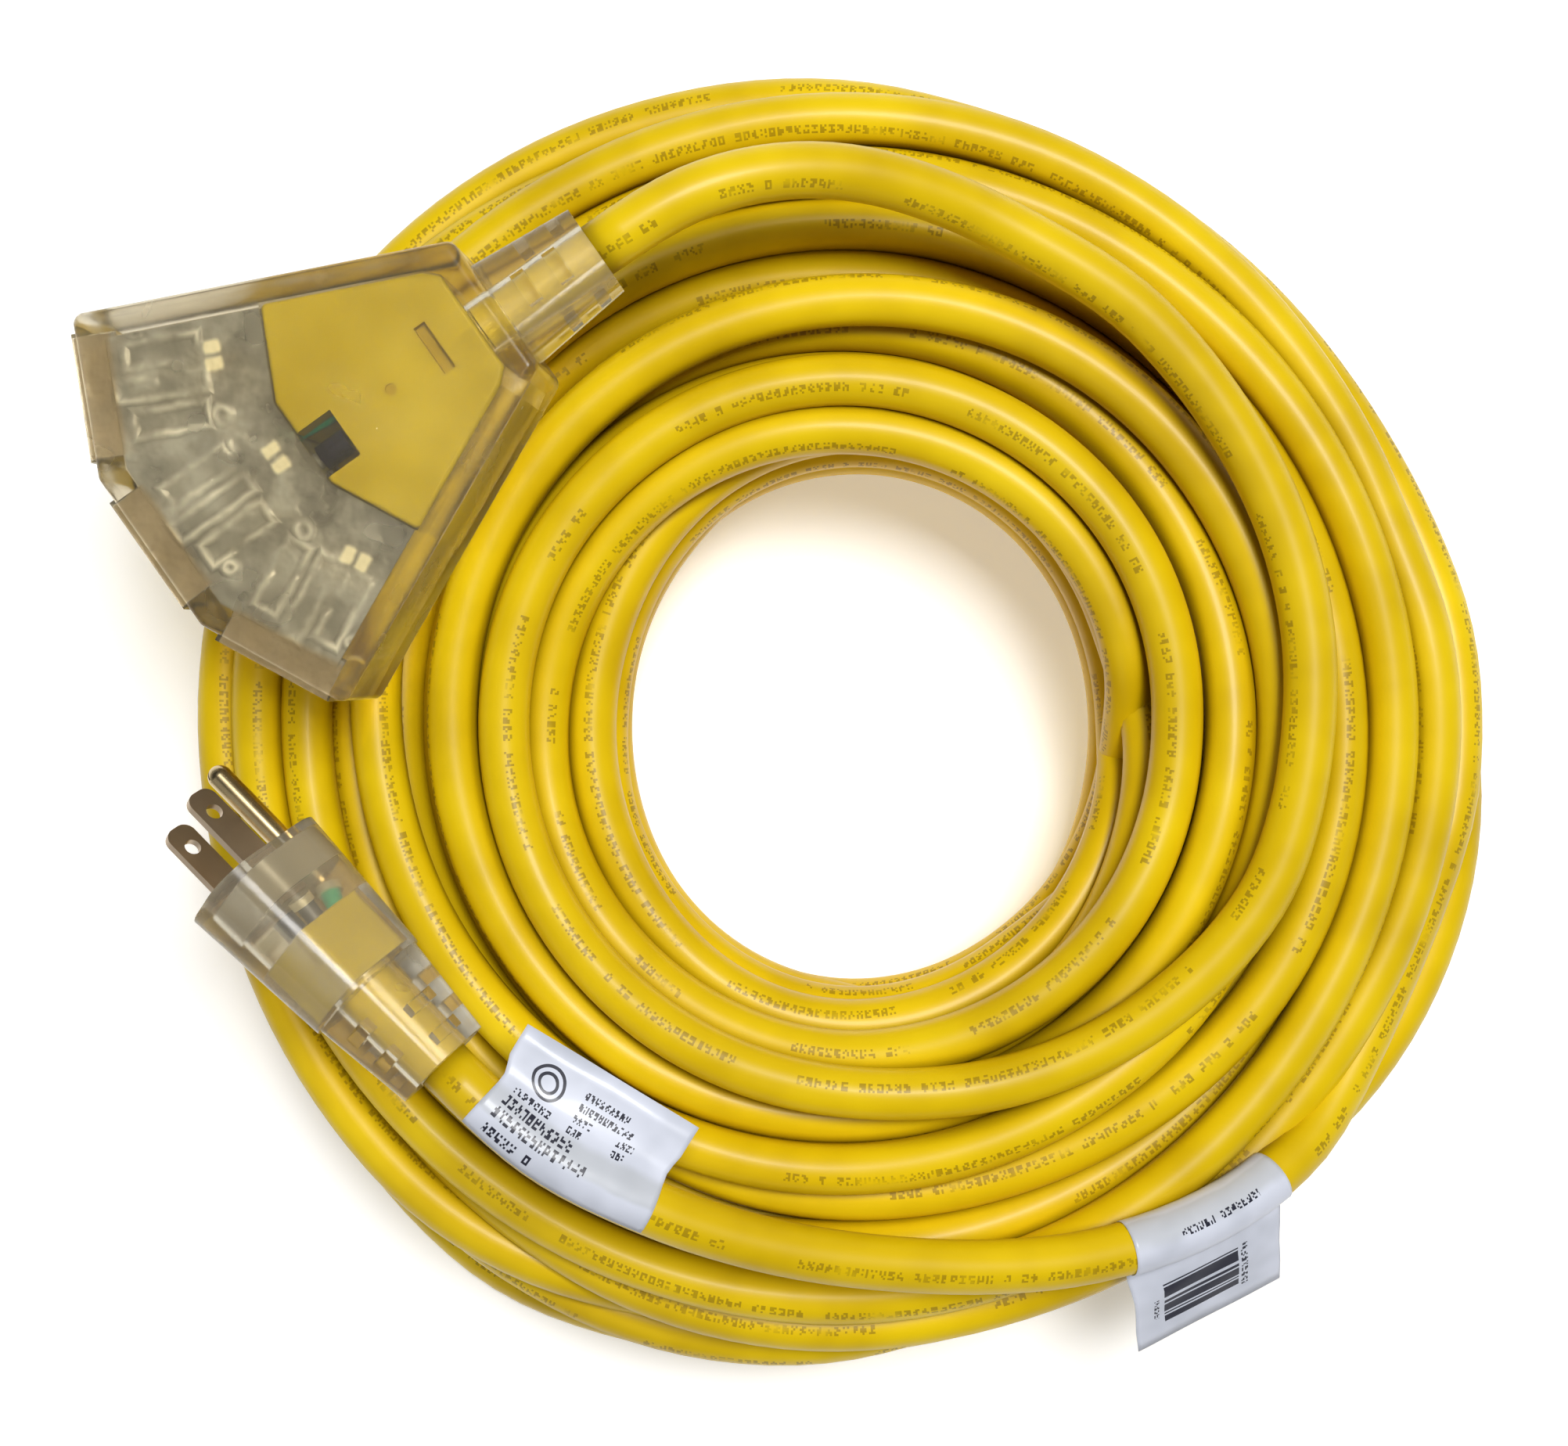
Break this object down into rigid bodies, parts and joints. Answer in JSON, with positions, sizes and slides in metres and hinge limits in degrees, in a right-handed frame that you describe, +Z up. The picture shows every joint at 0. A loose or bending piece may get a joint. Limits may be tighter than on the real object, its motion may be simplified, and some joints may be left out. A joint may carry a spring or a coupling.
{
  "type": "coiled extension cord with triple tap",
  "caption": "Heavy round yellow extension cord wound in a flat coil, with a clear fan-shaped triple outlet tap and a clear three-pin plug lying on top.",
  "frame": {"origin": "middle of the coil, on the surface that it lies on", "axes": "+Z up; +X to the side where the plug's turn is outermost; the tap lies at -X +Y and the plug at -X -Y"},
  "size_m": [0.2872, 0.2838, 0.1079],
  "materials": {
    "clear_vinyl": "clear flexible PVC, gloss",
    "cord_jacket": "yellow vinyl jacket, semi-gloss",
    "inner_mould": "yellow moulded vinyl",
    "carrier": "translucent grey-white plastic",
    "brass": "bright rolled brass",
    "blade_metal": "dull nickel-brass sheet",
    "wire_black": "insulation",
    "wire_white": "insulation",
    "wire_green": "insulation",
    "lamp": "dark blue lamp body",
    "resistor": "grey coated resistor",
    "lead_wire": "tinned wire",
    "label": "white vinyl label, laminated"
  },
  "bodies": {
    "cord_set": {"cord_coil": "cord_jacket", "tap_lead": "cord_jacket", "plug_lead": "cord_jacket", "rating_label": "label", "barcode_label": "label", "tap_outer_mould": "clear_vinyl", "tap_strain_relief": "clear_vinyl", "tap_inner_mould": "inner_mould", "carrier_base": "carrier", "carrier_cover": "carrier", "line_bus": "brass", "neutral_bus": "brass", "ground_bus": "brass", "tap_black_wire": "wire_black", "tap_white_wire": "wire_white", "tap_green_wire": "wire_green", "tap_crimps": "brass", "tap_lamp": "lamp", "tap_resistor": "resistor", "tap_lamp_leads": "lead_wire", "tap_jacket_end": "cord_jacket", "plug_outer_mould": "clear_vinyl", "plug_strain_relief": "clear_vinyl", "plug_inner_mould": "inner_mould", "plug_bridge": "carrier", "line_blade": "blade_metal", "neutral_blade": "blade_metal", "ground_pin": "brass", "plug_black_wire": "wire_black", "plug_white_wire": "wire_white", "plug_green_wire": "wire_green", "plug_crimps": "brass", "plug_lamp": "lamp", "plug_jacket_end": "cord_jacket"},
    "line_leaf_1": {"line_leaf_1": "brass"},
    "neutral_leaf_1": {"neutral_leaf_1": "brass"},
    "ground_leaf_1": {"ground_leaf_1": "brass"},
    "line_leaf_2": {"line_leaf_2": "brass"},
    "neutral_leaf_2": {"neutral_leaf_2": "brass"},
    "ground_leaf_2": {"ground_leaf_2": "brass"},
    "line_leaf_3": {"line_leaf_3": "brass"},
    "neutral_leaf_3": {"neutral_leaf_3": "brass"},
    "ground_leaf_3": {"ground_leaf_3": "brass"}
  },
  "joints": [
    {"name": "line_leaf_1_flex", "type": "hinge", "parent": "cord_set", "child": "line_leaf_1", "pos_m": [-0.10256, 0.03105, 0.08511], "axis": [-0.0429, -0.03, 0.9986], "range_deg": [0, 5], "stiffness_Nm_per_rad": 0.5},
    {"name": "neutral_leaf_1_flex", "type": "hinge", "parent": "cord_set", "child": "neutral_leaf_1", "pos_m": [-0.09278, 0.02566, 0.08677], "axis": [0.0429, 0.03, -0.9986], "range_deg": [0, 5], "stiffness_Nm_per_rad": 0.5},
    {"name": "ground_leaf_1_flex", "type": "hinge", "parent": "cord_set", "child": "ground_leaf_1", "pos_m": [-0.09605, 0.02687, 0.09728], "axis": [-0.0429, -0.03, 0.9986], "range_deg": [0, 5], "stiffness_Nm_per_rad": 0.5},
    {"name": "line_leaf_2_flex", "type": "hinge", "parent": "cord_set", "child": "line_leaf_2", "pos_m": [-0.11703, 0.04788, 0.08499], "axis": [-0.0429, -0.03, 0.9986], "range_deg": [0, 5], "stiffness_Nm_per_rad": 0.5},
    {"name": "neutral_leaf_2_flex", "type": "hinge", "parent": "cord_set", "child": "neutral_leaf_2", "pos_m": [-0.11067, 0.03867, 0.08639], "axis": [0.0429, 0.03, -0.9986], "range_deg": [0, 5], "stiffness_Nm_per_rad": 0.5},
    {"name": "ground_leaf_2_flex", "type": "hinge", "parent": "cord_set", "child": "ground_leaf_2", "pos_m": [-0.11296, 0.04097, 0.09698], "axis": [-0.0429, -0.03, 0.9986], "range_deg": [0, 5], "stiffness_Nm_per_rad": 0.5},
    {"name": "line_leaf_3_flex", "type": "hinge", "parent": "cord_set", "child": "line_leaf_3", "pos_m": [-0.12314, 0.06914, 0.08537], "axis": [-0.0429, -0.03, 0.9986], "range_deg": [0, 5], "stiffness_Nm_per_rad": 0.5},
    {"name": "neutral_leaf_3_flex", "type": "hinge", "parent": "cord_set", "child": "neutral_leaf_3", "pos_m": [-0.12154, 0.05802, 0.08651], "axis": [0.0429, 0.03, -0.9986], "range_deg": [0, 5], "stiffness_Nm_per_rad": 0.5},
    {"name": "ground_leaf_3_flex", "type": "hinge", "parent": "cord_set", "child": "ground_leaf_3", "pos_m": [-0.12246, 0.06087, 0.09717], "axis": [-0.0429, -0.03, 0.9986], "range_deg": [0, 5], "stiffness_Nm_per_rad": 0.5}
  ],
  "couplings": [
    {"joint": "neutral_leaf_1_flex", "follows": "line_leaf_1_flex", "ratio": 1},
    {"joint": "ground_leaf_1_flex", "follows": "line_leaf_1_flex", "ratio": 1},
    {"joint": "neutral_leaf_2_flex", "follows": "line_leaf_2_flex", "ratio": 1},
    {"joint": "ground_leaf_2_flex", "follows": "line_leaf_2_flex", "ratio": 1},
    {"joint": "neutral_leaf_3_flex", "follows": "line_leaf_3_flex", "ratio": 1},
    {"joint": "ground_leaf_3_flex", "follows": "line_leaf_3_flex", "ratio": 1}
  ]
}
